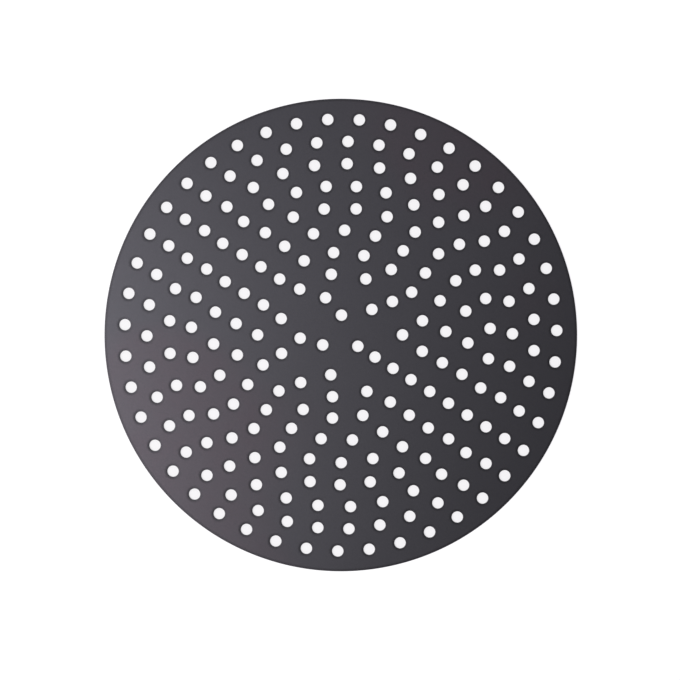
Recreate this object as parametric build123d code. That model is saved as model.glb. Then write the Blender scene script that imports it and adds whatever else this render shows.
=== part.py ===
from build123d import *

import os

# A perforated pizza pan of the flat kind: one round sheet of aluminium, with no rim, lip or handle.
#
# The disc is blanked from sheet and punched with rings of round steam holes about its centre, and the
# two corners of its outer edge are broken. Every ring has a hole on the +X line and an odd number of
# them, evenly spread from there, so the pattern is its own mirror image across that line.
#
# The pan lies flat. The origin is the middle of its underside, and +Z points up, out of the face that
# carries the pizza. All sizes are in millimetres.

# Sheet
disc_diameter = 406.4  # sold as a 16 inch disc
sheet_thickness = 1.63  # 14 gauge aluminium
edge_break = 0.3  # the bevel on both corners of the outer edge

# Holes
hole_diameter = 9.75  # a 3/8 inch punch, opened up a little by the etching before the hard coat
edge_pitch = 17.4625  # the disc's edge to the middle of the outermost holes

# Rings of holes, from the centre out. The first four lie a little closer together than the rest.
centre_pitch = 17.4625  # the disc's centre to ring 1, and on to ring 2
middle_pitch = 18.25625  # ring 2 to ring 3, and on to ring 4
outer_pitch = 19.05  # what the distance from ring 4 to the outermost is divided into, as near as it goes
holes_per_ring = (3, 5, 11, 17, 21, 25, 31, 33, 39, 43)


def ring_radii() -> list[float]:
    """The radius of each ring of holes, from the centre out."""
    radii = [centre_pitch, 2 * centre_pitch]
    radii += [radii[-1] + middle_pitch, radii[-1] + 2 * middle_pitch]
    fourth = radii[-1]
    outermost = disc_diameter / 2 - edge_pitch
    rings = round((outermost - fourth) / outer_pitch)
    return radii + [fourth + (outermost - fourth) * ring / rings for ring in range(1, rings + 1)]


def holes_in(ring: int, radii: list[float]) -> int:
    """How many holes a ring has. Rings past the last that is listed keep its spacing, to the nearest odd number."""
    if ring < len(holes_per_ring):
        return holes_per_ring[ring]
    holes = holes_per_ring[-1] * radii[ring] / radii[len(holes_per_ring) - 1]
    return 2 * round((holes - 1) / 2) + 1


def perforated_disc() -> Part:
    """The round sheet with its rings of holes and its bevelled outer edge."""
    radii = ring_radii()
    with BuildPart() as disc:
        with BuildSketch():
            Circle(disc_diameter / 2)
            for ring, radius in enumerate(radii):
                with PolarLocations(radius, holes_in(ring, radii)):
                    Circle(hole_diameter / 2, mode=Mode.SUBTRACT)
        extrude(amount=sheet_thickness)
        outer_corners = disc.edges().filter_by(GeomType.CIRCLE).group_by(SortBy.RADIUS)[-1]
        chamfer(outer_corners, edge_break)
    return disc.part


os.makedirs("parts", exist_ok=True)
export_step(perforated_disc(), "parts/perforated_disc.step")
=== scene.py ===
"""A flat perforated pizza pan, seen from straight above on white paper.

The pan is one sheet of hard-coated aluminium. It is modelled again here, finer than its solid: every
hole gets the rolled mouth, the sheared band and the torn band that a punch leaves, and the disc's
edge gets its rounded corners. The rings of holes have the solid's sizes. Lengths are in metres,
unless their names end in mm.
"""

import logging
import math
from collections.abc import Callable
from dataclasses import dataclass, field
from enum import IntEnum
from itertools import pairwise

import bmesh
import bpy
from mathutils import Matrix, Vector

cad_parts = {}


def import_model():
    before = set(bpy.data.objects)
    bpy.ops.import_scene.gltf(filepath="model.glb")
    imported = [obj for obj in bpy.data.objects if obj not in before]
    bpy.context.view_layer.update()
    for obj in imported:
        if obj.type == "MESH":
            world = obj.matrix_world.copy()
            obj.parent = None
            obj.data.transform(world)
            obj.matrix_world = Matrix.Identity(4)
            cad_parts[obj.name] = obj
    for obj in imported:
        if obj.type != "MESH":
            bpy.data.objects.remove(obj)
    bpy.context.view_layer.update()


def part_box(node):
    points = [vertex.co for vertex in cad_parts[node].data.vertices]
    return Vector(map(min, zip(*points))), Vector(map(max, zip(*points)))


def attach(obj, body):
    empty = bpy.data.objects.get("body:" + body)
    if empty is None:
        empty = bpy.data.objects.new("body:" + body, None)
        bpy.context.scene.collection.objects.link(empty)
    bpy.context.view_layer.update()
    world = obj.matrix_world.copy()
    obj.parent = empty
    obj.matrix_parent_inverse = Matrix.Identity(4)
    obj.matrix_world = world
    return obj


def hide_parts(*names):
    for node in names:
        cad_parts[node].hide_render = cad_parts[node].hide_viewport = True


log = logging.getLogger("pizza_pan")

MM = 0.001

Profile = list[tuple[float, float]]
Socket = bpy.types.NodeSocket
Triple = tuple[float, float, float]


class ColourMix(IntEnum):
    """The places of a colour Mix node's sockets, whose names its other kinds of value share."""

    FACTOR = 0
    FIRST = 6
    SECOND = 7
    RESULT = 2


class Zone(IntEnum):
    """The parts of the sheet's surface that have a finish of their own, by material slot."""

    FACES = 0
    CUT_EDGES = 1


class Metal(IntEnum):
    """The side of a cut wall on which the metal lies, seen from the axis that the wall turns about."""

    OUTSIDE = 1
    INSIDE = -1


class Facing(IntEnum):
    """The way that a flat face of the sheet looks."""

    UP = 1
    DOWN = -1


def linear(colour: str) -> tuple[float, float, float, float]:
    """Turns an sRGB colour into the linear values that a shader takes.

    Args:
        colour: The colour as a hex string, such as "#48474d".

    Returns:
        Linear red, green and blue, and an alpha of 1.
    """
    channels = [int(colour[place:place + 2], 16) / 255 for place in (1, 3, 5)]
    red, green, blue = (
        value / 12.92 if value <= 0.04045 else ((value + 0.055) / 1.055) ** 2.4
        for value in channels)
    return red, green, blue, 1.0


def add_node(
    tree: bpy.types.NodeTree,
    kind: str,
    inputs: dict[str | int, Socket | float | tuple] | None = None,
    **settings: object,
) -> bpy.types.Node:
    """Adds a shader node, sets it up and links it.

    Args:
        tree: The node tree that gets the node.
        kind: The node's type, such as "ShaderNodeBump".
        inputs: What each input, by its name or its place, is linked to or set to.
        settings: The node's own properties by name.

    Returns:
        The new node.
    """
    node = tree.nodes.new(kind)
    for name, value in settings.items():
        setattr(node, name, value)
    for name, value in (inputs or {}).items():
        if isinstance(value, Socket):
            tree.links.new(value, node.inputs[name])
        else:
            node.inputs[name].default_value = value
    return node


@dataclass(frozen=True)
class Noise:
    """A noise pattern: its features' size along X, Y and Z, its finer layers, and where it starts."""

    size_mm: Triple
    detail: float
    roughness: float
    shift: Triple = (0.0, 0.0, 0.0)

    @property
    def scale(self) -> Triple:
        """How many features go to a metre along each axis."""
        across, deep, high = (1 / (size * MM) for size in self.size_mm)
        return across, deep, high


@dataclass(frozen=True)
class Tint:
    """A tone over the rest of a surface, from where a pattern's value starts it to where it is full."""

    tone: str
    starts_at: float
    full_at: float
    cover: float


@dataclass(frozen=True)
class HardCoat:
    """Hard-coat anodised aluminium: the rolled sheet's own surface, etched and turned to grey oxide."""

    # To the eye it is a dark satin grey, softer than paint. A lamp shows on it as a wide pale haze and
    # never as a shape. Close by it is finely and evenly pitted, with a trace of the rolling under it.
    # Its tone drifts from bluish to mauve over a hand's width or more, as it does where the bath wasn't
    # stirred evenly. Close to each cut edge it is darker, which is painted shade round every edge.
    name: str = "hard_coat_anodised_aluminium"
    bluish_tone: str = "#4a4950"
    mauve_tone: str = "#4f4850"

    # The shift was chosen so that the mauve lies where it does on this sheet. Below the first of the
    # limits the coat is all mauve, and above the second it keeps only the least share of mauve.
    drift: Noise = Noise((240.0, 240.0, 240.0), 1.0, 0.5, shift=(24.88, 10.58, 3.7))
    drift_limits: tuple[float, float] = (0.44, 0.515)
    least_mauve: float = 0.05

    clouds: Noise = Noise((48.0, 48.0, 48.0), 5.0, 0.7)
    cloud_tint: Tint = Tint("#4e4d54", 0.35, 0.65, cover=0.4)

    # Rolling grain is about 0.1 mm wide. It is drawn 0.7 mm wide, because it wouldn't show otherwise.
    grain: Noise = Noise((60.0, 0.7, 60.0), 3.0, 0.6)
    grain_tint: Tint = Tint("#515057", 0.5, 0.8, cover=0.35)
    grain_depth_mm: float = 0.002

    # Etched pits are about 0.05 mm wide. They are drawn 0.6 mm wide, because they wouldn't show
    # otherwise. They are also what makes the sheen uneven.
    pits: Noise = Noise((0.6, 0.6, 0.6), 4.0, 0.75)
    pit_tint: Tint = Tint("#3f3e44", 0.35, 0.7, cover=0.8)
    pit_depth_mm: float = 0.006
    sheen_limits: tuple[float, float] = (0.3, 0.7)
    roughness: tuple[float, float] = (0.40, 0.46)

    # Painted shade: a darker ring that fades out from each cut edge over the rolled mouth and collar.
    painted_edge_shade_tint: Tint = Tint("#36353a", 0.05, 0.45, cover=0.62)

    def make(self, edge_attribute: str) -> bpy.types.Material:
        """Builds the material.

        Args:
            edge_attribute: The mesh attribute that is 1 at a cut edge and fades to 0 a little way in.

        Returns:
            The material, patterned on Object coordinates.
        """
        material = bpy.data.materials.new(self.name)
        material.use_nodes = True
        tree = material.node_tree
        tree.nodes.clear()
        place = add_node(tree, "ShaderNodeTexCoord").outputs["Object"]
        near_edge = add_node(tree, "ShaderNodeAttribute", attribute_name=edge_attribute).outputs["Fac"]

        patterns = []
        for noise in (self.drift, self.clouds, self.grain, self.pits):
            placed = add_node(tree, "ShaderNodeMapping", {
                "Vector": place, "Scale": noise.scale, "Location": noise.shift}, vector_type="POINT")
            patterns.append(add_node(tree, "ShaderNodeTexNoise", {
                "Vector": placed.outputs["Vector"], "Scale": 1.0,
                "Detail": noise.detail, "Roughness": noise.roughness}).outputs["Fac"])
        drift, clouds, grain, pits = patterns

        mauve_until, bluish_from = self.drift_limits
        mauve = add_node(tree, "ShaderNodeMapRange", {
            "Value": drift, "From Min": mauve_until, "From Max": bluish_from,
            "To Min": 1.0, "To Max": self.least_mauve})
        colour = add_node(tree, "ShaderNodeMix", {
            ColourMix.FACTOR: mauve.outputs["Result"],
            ColourMix.FIRST: linear(self.bluish_tone),
            ColourMix.SECOND: linear(self.mauve_tone)}, data_type="RGBA")
        for pattern, tint in (
            (clouds, self.cloud_tint),
            (grain, self.grain_tint),
            (pits, self.pit_tint),
            (near_edge, self.painted_edge_shade_tint),
        ):
            amount = add_node(tree, "ShaderNodeMapRange", {
                "Value": pattern, "From Min": tint.starts_at, "From Max": tint.full_at,
                "To Min": 0.0, "To Max": tint.cover})
            colour = add_node(tree, "ShaderNodeMix", {
                ColourMix.FACTOR: amount.outputs["Result"],
                ColourMix.FIRST: colour.outputs[ColourMix.RESULT],
                ColourMix.SECOND: linear(tint.tone)}, data_type="RGBA")

        low, high = self.sheen_limits
        smoothest, roughest = self.roughness
        sheen = add_node(tree, "ShaderNodeMapRange", {
            "Value": pits, "From Min": low, "From Max": high,
            "To Min": smoothest, "To Max": roughest})
        grained = add_node(tree, "ShaderNodeBump", {
            "Height": grain, "Strength": 1.0, "Distance": self.grain_depth_mm * MM})
        pitted = add_node(tree, "ShaderNodeBump", {
            "Height": pits, "Strength": 1.0, "Distance": self.pit_depth_mm * MM,
            "Normal": grained.outputs["Normal"]})
        surface = add_node(tree, "ShaderNodeBsdfPrincipled", {
            "Base Color": colour.outputs[ColourMix.RESULT], "Metallic": 1.0,
            "Roughness": sheen.outputs["Result"], "Normal": pitted.outputs["Normal"]})
        add_node(tree, "ShaderNodeOutputMaterial", {"Surface": surface.outputs["BSDF"]})
        return material


@dataclass(frozen=True)
class CutEdge:
    """Punched aluminium under the same hard coat: the walls of the holes and of the disc's edge."""

    # To the eye the upper part of a wall, which the punch sheared, is smooth and a little glossy, with
    # fine marks straight down it. The lower part, which tore off, is dull, dark and grainy, and the
    # line between the two is ragged.
    name: str = "hard_coated_punched_edge"
    sheared_tone: str = "#4b4a50"
    torn_tone: str = "#3d3c41"
    sheared_roughness: float = 0.34
    torn_roughness: float = 0.62

    # Both are about 0.05 mm wide, and are drawn three to four times as wide so that they show.
    drag_marks: Noise = Noise((0.16, 0.16, 2.0), 2.0, 0.5)
    tears: Noise = Noise((0.22, 0.22, 0.22), 3.0, 0.65)
    drag_strength: float = 0.7
    drag_depth_mm: float = 0.01
    tear_depth_mm: float = 0.05
    ragged_mm: float = 0.22

    def make(self, torn_below: float) -> bpy.types.Material:
        """Builds the material.

        Args:
            torn_below: The height at which the torn band starts.

        Returns:
            The material, patterned on Object coordinates.
        """
        material = bpy.data.materials.new(self.name)
        material.use_nodes = True
        tree = material.node_tree
        tree.nodes.clear()
        place = add_node(tree, "ShaderNodeTexCoord").outputs["Object"]
        height = add_node(tree, "ShaderNodeSeparateXYZ", {"Vector": place}).outputs["Z"]

        patterns = []
        for noise in (self.drag_marks, self.tears):
            placed = add_node(tree, "ShaderNodeMapping", {
                "Vector": place, "Scale": noise.scale}, vector_type="POINT")
            patterns.append(add_node(tree, "ShaderNodeTexNoise", {
                "Vector": placed.outputs["Vector"], "Scale": 1.0,
                "Detail": noise.detail, "Roughness": noise.roughness}).outputs["Fac"])
        drag_marks, tears = patterns

        ragged = self.ragged_mm * MM
        ragged_height = add_node(tree, "ShaderNodeMath", {
            0: tears, 1: ragged, 2: height}, operation="MULTIPLY_ADD")
        torn = add_node(tree, "ShaderNodeMapRange", {
            "Value": ragged_height.outputs["Value"],
            "From Min": torn_below, "From Max": torn_below + ragged,
            "To Min": 1.0, "To Max": 0.0}).outputs["Result"]
        colour = add_node(tree, "ShaderNodeMix", {
            ColourMix.FACTOR: torn,
            ColourMix.FIRST: linear(self.sheared_tone),
            ColourMix.SECOND: linear(self.torn_tone)}, data_type="RGBA")
        sheen = add_node(tree, "ShaderNodeMapRange", {
            "Value": torn, "To Min": self.sheared_roughness, "To Max": self.torn_roughness})
        dragged = add_node(tree, "ShaderNodeBump", {
            "Height": drag_marks, "Strength": self.drag_strength,
            "Distance": self.drag_depth_mm * MM})
        rough_tears = add_node(tree, "ShaderNodeMath", {0: tears, 1: torn}, operation="MULTIPLY")
        torn_off = add_node(tree, "ShaderNodeBump", {
            "Height": rough_tears.outputs["Value"], "Strength": 1.0,
            "Distance": self.tear_depth_mm * MM, "Normal": dragged.outputs["Normal"]})
        surface = add_node(tree, "ShaderNodeBsdfPrincipled", {
            "Base Color": colour.outputs[ColourMix.RESULT], "Metallic": 1.0,
            "Roughness": sheen.outputs["Result"], "Normal": torn_off.outputs["Normal"]})
        add_node(tree, "ShaderNodeOutputMaterial", {"Surface": surface.outputs["BSDF"]})
        return material


@dataclass(frozen=True)
class WhitePaper:
    """Matt white paper, which the camera and the metal's reflections see as pure white."""

    # To the eye it is blank. Its glow lights nothing. It glows less under the pan, which paints a shade
    # that the holes show as a touch of grey, and a little less round the pan than far off, so that the
    # pan keeps its shadow. From below it is clear, so that the pan's underside can be looked at.
    name: str = "white_paper"
    tone: str = "#7f7f7f"
    glow_tone: str = "#fcfafe"
    # Painted shade: under the pan the paper glows less, so the holes show it a touch grey.
    painted_shade_glow_under_pan: float = 0.745
    glow_by_pan: float = 0.9
    glow_far_off: float = 1.0

    # How far from the middle the glow rises, first under the pan's edge and then round the pan.
    pan_edge: tuple[float, float] = (0.192, 0.203)
    surroundings: tuple[float, float] = (0.3, 1.2)

    def make(self) -> bpy.types.Material:
        """Builds the material.

        Returns:
            The material, whose glow is centred on the object's origin.
        """
        material = bpy.data.materials.new(self.name)
        material.use_nodes = True
        tree = material.node_tree
        tree.nodes.clear()
        place = add_node(tree, "ShaderNodeTexCoord").outputs["Object"]
        distance = add_node(tree, "ShaderNodeVectorMath", {0: place}, operation="LENGTH")
        rises = [
            add_node(tree, "ShaderNodeMapRange", {
                "Value": distance.outputs["Value"], "From Min": near, "From Max": far,
                "To Min": low, "To Max": high}, interpolation_type="SMOOTHSTEP").outputs["Result"]
            for (near, far), low, high in (
                (self.pan_edge, self.painted_shade_glow_under_pan, self.glow_by_pan),
                (self.surroundings, 0.0, self.glow_far_off - self.glow_by_pan),
            )
        ]
        glow = add_node(tree, "ShaderNodeMath", dict(enumerate(rises)), operation="ADD")
        strength = add_node(tree, "ShaderNodeMath", {
            0: self.seen(tree), 1: glow.outputs["Value"]}, operation="MULTIPLY")
        paper = add_node(tree, "ShaderNodeBsdfDiffuse", {"Color": linear(self.tone)})
        light = add_node(tree, "ShaderNodeEmission", {
            "Color": linear(self.glow_tone), "Strength": strength.outputs["Value"]})
        above = add_node(tree, "ShaderNodeAddShader", {
            0: paper.outputs["BSDF"], 1: light.outputs["Emission"]})
        below = add_node(tree, "ShaderNodeBsdfTransparent")
        from_below = add_node(tree, "ShaderNodeNewGeometry").outputs["Backfacing"]
        surface = add_node(tree, "ShaderNodeMixShader", {
            "Fac": from_below, 1: above.outputs["Shader"], 2: below.outputs["BSDF"]})
        add_node(tree, "ShaderNodeOutputMaterial", {"Surface": surface.outputs["Shader"]})
        return material

    def seen(self, tree: bpy.types.NodeTree) -> Socket:
        """Adds nodes that tell the rays that see the paper from the rest.

        Args:
            tree: The node tree that gets the nodes.

        Returns:
            A value that is 1 for a ray that sees the paper, straight or in a mirror or through
            glass, and 0 for light that a matt surface gathers.
        """
        ray = add_node(tree, "ShaderNodeLightPath").outputs
        mirrored = add_node(tree, "ShaderNodeMath", {
            0: ray["Is Glossy Ray"], 1: ray["Is Transmission Ray"]}, operation="ADD")
        either = add_node(tree, "ShaderNodeMath", {
            0: ray["Is Camera Ray"], 1: mirrored.outputs["Value"]}, operation="ADD", use_clamp=True)
        return either.outputs["Value"]


@dataclass(frozen=True)
class BlackFelt:
    """Black felt, as a studio hangs it to keep light off."""

    # To the eye it is a matt black that sends back a fortieth of the light. It shows only as a blur in
    # the metal, so it has no pattern.
    name: str = "black_felt"
    tone: str = "#2b2b2b"

    def make(self) -> bpy.types.Material:
        """Builds the material.

        Returns:
            The material.
        """
        material = bpy.data.materials.new(self.name)
        material.use_nodes = True
        tree = material.node_tree
        tree.nodes.clear()
        felt = add_node(tree, "ShaderNodeBsdfDiffuse", {"Color": linear(self.tone)})
        add_node(tree, "ShaderNodeOutputMaterial", {"Surface": felt.outputs["BSDF"]})
        return material


@dataclass(frozen=True)
class Corner:
    """A rounded corner between a flat face and a wall."""

    width: float
    depth: float
    steps: int

    def points(self, wall: float, face: float, metal: Metal, facing: Facing) -> Profile:
        """The corner's points, from the face to the wall.

        Args:
            wall: The wall's radius from the axis that it turns about.
            face: The flat face's height.
            metal: The side of the wall on which the metal lies.
            facing: The way that the face looks.

        Returns:
            Radius and height of each point.
        """
        turns = [math.pi / 2 * (1 + step / self.steps) for step in range(self.steps + 1)]
        return [
            (wall + metal * self.width * (1 + math.cos(turn)),
             face - facing * self.depth * (1 - math.sin(turn)))
            for turn in turns
        ]


@dataclass(frozen=True)
class SheetEdge:
    """The section of a cut edge: a flat collar on the top face, a rounded corner and the wall.

    Below the wall comes a second rounded corner, or a sharp one where none is given.
    """

    top: Corner
    collar: float
    bottom: Corner | None = None

    def profile(self, radius: float, thickness: float, metal: Metal) -> Profile:
        """The section's points, from the collar on the top face to the underside.

        Args:
            radius: The wall's radius from the axis that the edge turns about.
            thickness: The sheet's thickness. Its underside is at zero.
            metal: The side of the wall on which the metal lies.

        Returns:
            Radius and height of each point.
        """
        above = self.top.points(radius, thickness, metal, Facing.UP)
        below = [(radius, 0.0)]
        if self.bottom:
            below = self.bottom.points(radius, 0.0, metal, Facing.DOWN)[::-1]
        mouth, _ = above[0]
        return [(mouth + metal * self.collar, thickness), *above, *below]

    def mark(
        self, ring: bpy.types.Object, radius: float, thickness: float, attribute: str,
    ) -> None:
        """Writes an attribute that fades from 1 at the wall to 0 at the collar's far side.

        It is 0 on the sheet's lower half.

        Args:
            ring: The turned section, centred on the Z axis.
            radius: The wall's radius.
            thickness: The sheet's thickness.
            attribute: The attribute's name.
        """
        marks = ring.data.attributes.new(attribute, "FLOAT", "POINT")
        reach = self.top.width + self.collar
        for vertex, mark in zip(ring.data.vertices, marks.data):
            fade = min(1.0, abs(vertex.co.xy.length - radius) / reach)
            mark.value = 1 - fade if vertex.co.z > thickness / 2 else 0.0


@dataclass(frozen=True)
class RingPattern:
    """Rings of holes round the centre, each with a hole on the +X line."""

    # From the centre to ring 1 and on to ring 2, from ring 2 on to rings 3 and 4, and from the
    # outermost ring to the disc's edge. The rings between share the rest evenly.
    centre_pitch: float = 17.4625 * MM
    middle_pitch: float = 18.25625 * MM
    edge_pitch: float = 17.4625 * MM
    holes: tuple[int, ...] = (3, 5, 11, 17, 21, 25, 31, 33, 39, 43)

    def radii(self, disc_radius: float) -> list[float]:
        """The rings' radii, from the centre out, one for each entry in holes.

        Args:
            disc_radius: The disc's outer radius.

        Returns:
            Each ring's radius.
        """
        inner = [self.centre_pitch, 2 * self.centre_pitch]
        inner += [inner[-1] + self.middle_pitch, inner[-1] + 2 * self.middle_pitch]
        outermost = disc_radius - self.edge_pitch
        rings = len(self.holes) - len(inner)
        step = (outermost - inner[-1]) / rings
        return inner + [inner[-1] + step * ring for ring in range(1, rings + 1)]


def deselect_all() -> None:
    """Leaves nothing selected, so that the next operator acts on its own object only."""
    bpy.ops.object.select_all(action="DESELECT")


def make_active(piece: bpy.types.Object) -> None:
    """Selects one piece alone and makes it the active one.

    Args:
        piece: The piece that the next operator acts on.
    """
    deselect_all()
    piece.select_set(True)
    bpy.context.view_layer.objects.active = piece


def turned(name: str, profile: Profile, segments: int) -> bpy.types.Object:
    """Turns an open section round the Z axis by extruding a circle from point to point.

    Args:
        name: The new object's name.
        profile: Radius and height of each point of the section.
        segments: How many sides the turned surface has.

    Returns:
        An open ring, with its place in its mesh.
    """
    deselect_all()
    radius, height = profile[0]
    bpy.ops.mesh.primitive_circle_add(vertices=segments, radius=radius, fill_type="NOTHING")
    ring = bpy.context.object
    ring.name = name
    bpy.ops.object.mode_set(mode="EDIT")
    bpy.ops.mesh.select_all(action="SELECT")
    bpy.ops.transform.translate(value=(0, 0, height))
    for (radius, height), (next_radius, next_height) in pairwise(profile):
        rise = next_height - height
        bpy.ops.mesh.extrude_region_move(TRANSFORM_OT_translate={"value": (0, 0, rise)})
        widening = next_radius / radius
        bpy.ops.transform.resize(
            value=(widening, widening, 1), center_override=(0, 0, next_height))
    bpy.ops.object.mode_set(mode="OBJECT")
    return ring


def select_edges(piece: bpy.types.Object, wanted: Callable[[bmesh.types.BMEdge], bool]) -> int:
    """Selects the edges that a test picks, in edit mode.

    Args:
        piece: The object in edit mode.
        wanted: Says whether an edge is picked.

    Returns:
        How many edges were picked.
    """
    bpy.ops.mesh.select_mode(type="EDGE")
    bpy.ops.mesh.select_all(action="DESELECT")
    edit = bmesh.from_edit_mesh(piece.data)
    picked = [edge for edge in edit.edges if wanted(edge)]
    for edge in picked:
        edge.select_set(True)
    bmesh.update_edit_mesh(piece.data)
    return len(picked)


@dataclass
class PerforatedDisc:
    """The pan: one round sheet with its rings of punched holes."""

    node: str = "perforated_disc"
    body: str = "root"
    slot: str = "hard_coat"
    piece_name: str = "perforated_sheet"
    radius: float = field(init=False)
    thickness: float = field(init=False)

    # Three bands of 20 sides make the 60 faces of a hole: collar, rolled mouth and wall.
    pattern: RingPattern = RingPattern()
    hole_radius: float = 9.75 / 2 * MM
    hole_segments: int = 20
    hole_edge: SheetEdge = SheetEdge(
        top=Corner(0.24 * MM, 0.16 * MM, steps=1),
        collar=2.5 * MM)

    rim_segments: int = 288
    rim_edge: SheetEdge = SheetEdge(
        top=Corner(0.25 * MM, 0.25 * MM, steps=3),
        collar=2.5 * MM,
        bottom=Corner(0.25 * MM, 0.25 * MM, steps=3))

    # Points closer than this are one. A face is part of a wall where its normal rises or falls by
    # less than wall_tilt. Edges from sharp_from on stay sharp, and flat_weight lets the flat faces
    # alone set the shading where they meet a round.
    merge_within: float = 0.001 * MM
    wall_tilt: float = 0.3
    sharp_from: float = math.radians(40)
    flat_weight: int = 100

    # How far down the sheet the punch shears before the rest tears.
    sheared_share: float = 0.52
    coat: HardCoat = HardCoat()
    cut: CutEdge = CutEdge()
    # This attribute is the mask of the painted shade round each cut edge.
    edge_attribute: str = "near_cut_edge"

    def __post_init__(self) -> None:
        """Takes the disc's own size from the frame."""
        low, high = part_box(self.node)
        self.radius = max(map(abs, (*low[:2], *high[:2])))
        self.thickness = high[2] - low[2]

    def build(self) -> bpy.types.Object:
        """Models the sheet, dresses it and puts it in the frame.

        Returns:
            The finished piece.
        """
        sheet = self.join([self.rim(), *self.rings()])
        self.fill_faces(sheet)
        self.smooth(sheet)
        self.dress(sheet)
        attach(sheet, self.body)
        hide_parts(self.node)
        return sheet

    def rim(self) -> bpy.types.Object:
        """Models the blanked outer edge.

        Returns:
            The edge as an open ring, under the finished piece's name.
        """
        profile = self.rim_edge.profile(self.radius, self.thickness, Metal.INSIDE)
        rim = turned(self.piece_name, profile, self.rim_segments)
        self.rim_edge.mark(rim, self.radius, self.thickness, self.edge_attribute)
        return rim

    def hole(self) -> bpy.types.Object:
        """Models the punched edge of one hole, whose sides enclose the round hole's area.

        Returns:
            The edge as an open ring round the Z axis.
        """
        step = 2 * math.pi / self.hole_segments
        radius = self.hole_radius * math.sqrt(step / math.sin(step))
        profile = self.hole_edge.profile(radius, self.thickness, Metal.OUTSIDE)
        hole = turned("hole", profile, self.hole_segments)
        self.hole_edge.mark(hole, radius, self.thickness, self.edge_attribute)
        return hole

    def rings(self) -> list[bpy.types.Object]:
        """Copies one hole's edge into every ring.

        Returns:
            One open piece for each ring.
        """
        hole = self.hole()
        radii = self.pattern.radii(self.radius)
        rings = [self.ring(hole, *ring) for ring in zip(radii, self.pattern.holes)]
        bpy.data.objects.remove(hole)
        return rings

    def ring(self, hole: bpy.types.Object, radius: float, count: int) -> bpy.types.Object:
        """Copies one hole's edge into a ring.

        Args:
            hole: The punched edge of one hole, centred on the Z axis.
            radius: The ring's radius.
            count: How many holes the ring has.

        Returns:
            The ring's edges as one piece.
        """
        make_active(hole)
        bpy.ops.object.duplicate()
        ring = bpy.context.object
        step = 2 * math.pi / count
        bpy.ops.object.mode_set(mode="EDIT")
        bpy.ops.mesh.select_all(action="SELECT")
        bpy.ops.transform.translate(value=(radius, 0, 0))
        bpy.ops.mesh.spin(
            steps=count - 1, dupli=True, angle=step * (count - 1), center=(0, 0, 0), axis=(0, 0, 1))
        bpy.ops.object.mode_set(mode="OBJECT")
        return ring

    def join(self, parts: list[bpy.types.Object]) -> bpy.types.Object:
        """Joins the open edges into one piece.

        Args:
            parts: The edges. The first gives the piece its name.

        Returns:
            The joined piece.
        """
        make_active(parts[0])
        for part in parts:
            part.select_set(True)
        bpy.ops.object.join()
        return bpy.context.object

    def fill_faces(self, sheet: bpy.types.Object) -> None:
        """Closes the two flat faces between the rim's edge and the holes' edges.

        Args:
            sheet: The joined edges, which it closes into one sheet.
        """
        make_active(sheet)
        bpy.ops.object.mode_set(mode="EDIT")
        middle = self.thickness / 2
        for face, upper in (("baking", True), ("under", False)):
            edges = select_edges(sheet, lambda edge: edge.is_boundary and all(
                (corner.co.z > middle) == upper for corner in edge.verts))
            log.info("%s face: %d open edges", face, edges)
            bpy.ops.mesh.fill(use_beauty=True)
        bpy.ops.mesh.select_all(action="SELECT")
        bpy.ops.mesh.remove_doubles(threshold=self.merge_within)
        bpy.ops.mesh.normals_make_consistent(inside=False)
        bpy.ops.mesh.select_all(action="DESELECT")
        bpy.ops.object.mode_set(mode="OBJECT")

    def smooth(self, sheet: bpy.types.Object) -> None:
        """Shades the rounds smooth, and keeps the flat faces flat up to where the rounds start.

        Args:
            sheet: The closed sheet.
        """
        make_active(sheet)
        bpy.ops.object.shade_smooth_by_angle(angle=self.sharp_from)
        bpy.ops.object.modifier_add(type="WEIGHTED_NORMAL")
        weighting = sheet.modifiers[-1]
        weighting.weight = self.flat_weight
        weighting.keep_sharp = True
        bpy.ops.object.modifier_apply(modifier=weighting.name)

    def dress(self, sheet: bpy.types.Object) -> None:
        """Gives the faces and the cut walls their finishes.

        Args:
            sheet: The closed sheet.
        """
        finishes = {
            Zone.FACES: self.coat.make(self.edge_attribute),
            Zone.CUT_EDGES: self.cut.make(self.thickness * (1 - self.sheared_share)),
        }
        for zone in sorted(finishes):
            sheet.data.materials.append(finishes[zone])
        for face in sheet.data.polygons:
            wall = abs(face.normal.z) < self.wall_tilt
            face.material_index = Zone.CUT_EDGES if wall else Zone.FACES


@dataclass(frozen=True)
class Photograph:
    """Where the camera stood: far above the pan, just off the vertical.

    The sheet's +X line is turned down to the right in the picture.
    """

    side_px: float = 680.0
    pan_centre_px: tuple[float, float] = (340.14, 334.97)
    mm_per_px: float = 0.8597
    pattern_turn: float = math.radians(32.16)
    lean_right: float = math.radians(0.51)
    lean_up: float = math.radians(1.29)
    distance: float = 2.5
    sensor_mm: float = 36.0
    clip: tuple[float, float] = (0.1, 100.0)

    def at(self, right: float, up: float, height: float) -> Vector:
        """A place given by how far right and up it lies in the picture, and how high."""
        cosine, sine = math.cos(self.pattern_turn), math.sin(self.pattern_turn)
        return Vector((right * cosine - up * sine, right * sine + up * cosine, height))

    def stand(self, face_height: float) -> bpy.types.Object:
        """Sets up the camera.

        Args:
            face_height: The height of the face that mm_per_px was measured on.

        Returns:
            The camera, which the scene uses.
        """
        middle_px = (self.side_px - 1) / 2
        across, down = (
            (middle_px - centre) * self.mm_per_px * MM for centre in self.pan_centre_px)
        lens = bpy.data.cameras.new("camera")
        lens.sensor_width = self.sensor_mm
        lens.lens = self.sensor_mm * self.distance / (self.side_px * self.mm_per_px * MM)
        lens.clip_start, lens.clip_end = self.clip
        camera = bpy.data.objects.new("camera", lens)
        camera.rotation_euler = (-self.lean_up, self.lean_right, self.pattern_turn)
        back = camera.rotation_euler.to_matrix() @ Vector((0, 0, 1))
        camera.location = self.at(across, -down, face_height) + self.distance * back
        bpy.context.collection.objects.link(camera)
        bpy.context.scene.camera = camera
        return camera


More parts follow.
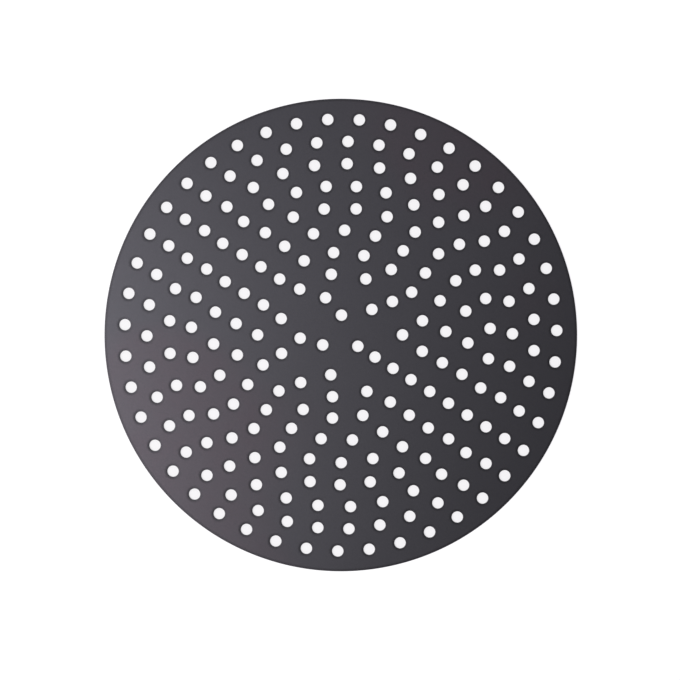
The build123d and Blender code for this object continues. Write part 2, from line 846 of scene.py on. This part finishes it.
@dataclass(frozen=True)
class Softbox:
    """A square softbox that faces the pan. The camera doesn't see it."""

    name: str
    place: Triple
    side: float
    radiance: float
    tone: str = "#ffffff"

    def hang(self, photograph: Photograph) -> bpy.types.Object:
        """Hangs the softbox.

        Args:
            photograph: The picture in which place is how far right, up and off the floor it is.

        Returns:
            The lamp.
        """
        light = bpy.data.lights.new(self.name, "AREA")
        light.shape = "SQUARE"
        light.size = self.side
        light.color = linear(self.tone)[:3]
        # A flat lamp's power is pi times its radiance and its area.
        light.energy = math.pi * self.radiance * self.side ** 2
        lamp = bpy.data.objects.new(self.name, light)
        lamp.location = photograph.at(*self.place)
        lamp.rotation_euler = lamp.location.to_track_quat("Z", "Y").to_euler()
        lamp.visible_camera = False
        bpy.context.collection.objects.link(lamp)
        return lamp


@dataclass(frozen=True)
class Flag:
    """A round of felt, hung flat above the camera to keep the white ceiling's light off the metal.

    The camera doesn't see it, not even from low down, where it looks past the pan at the room.
    """

    felt: BlackFelt = BlackFelt()
    radius: float = 4.2
    height: float = 3.0
    segments: int = 64

    def hang(self) -> bpy.types.Object:
        """Hangs the flag over the middle of the set.

        Returns:
            The flag.
        """
        deselect_all()
        bpy.ops.mesh.primitive_circle_add(
            vertices=self.segments, radius=self.radius, fill_type="NGON",
            location=(0, 0, self.height))
        flag = bpy.context.object
        flag.name = "overhead_flag"
        flag.data.materials.append(self.felt.make())
        flag.visible_camera = False
        return flag


@dataclass(frozen=True)
class Studio:
    """A white room: paper under the pan, a softbox at its left, a weak one and a flag overhead."""

    photograph: Photograph = Photograph()
    paper: WhitePaper = WhitePaper()
    paper_side: float = 60.0
    paper_gap: float = 0.02 * MM
    softboxes: tuple[Softbox, ...] = (
        Softbox("key_softbox", (-0.90, -0.235, 1.585), 0.766, 14.85, "#fffffa"),
        Softbox("overhead_softbox", (0.08, 0.245, 0.91), 0.5, 0.65),
    )
    flag: Flag = Flag()
    room_tone: str = "#ffffff"
    room_radiance: float = 1.0

    def build(self, face_height: float) -> None:
        """Sets up the camera, the floor, the light and the room.

        Args:
            face_height: The height of the pan's upper face.
        """
        self.photograph.stand(face_height)
        self.floor()
        for softbox in self.softboxes:
            softbox.hang(self.photograph)
        self.flag.hang()
        self.room()
        bpy.context.scene.view_settings.view_transform = "Standard"

    def floor(self) -> bpy.types.Object:
        """Lays the paper a hair below the pan.

        Returns:
            The floor.
        """
        deselect_all()
        bpy.ops.mesh.primitive_plane_add(size=self.paper_side, location=(0, 0, -self.paper_gap))
        floor = bpy.context.object
        floor.name = "paper_floor"
        floor.data.materials.append(self.paper.make())
        return floor

    def room(self) -> bpy.types.World:
        """Sets up the room, which is the same white to the camera, the metal and the paper.

        Returns:
            The world.
        """
        world = bpy.data.worlds.new("white_room")
        bpy.context.scene.world = world
        world.use_nodes = True
        tree = world.node_tree
        tree.nodes.clear()
        light = add_node(tree, "ShaderNodeBackground", {
            "Color": linear(self.room_tone), "Strength": self.room_radiance})
        add_node(tree, "ShaderNodeOutputWorld", {"Surface": light.outputs["Background"]})
        return world


def main() -> None:
    """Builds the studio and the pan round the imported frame."""
    logging.basicConfig(level=logging.INFO, format="%(name)s: %(message)s")
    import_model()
    disc = PerforatedDisc()
    Studio().build(disc.thickness)
    sheet = disc.build()
    faces, width_mm = len(sheet.data.polygons), sheet.dimensions.x / MM
    log.info("%s: %d faces, %.2f mm wide", sheet.name, faces, width_mm)


if __name__ == "__main__":
    main()
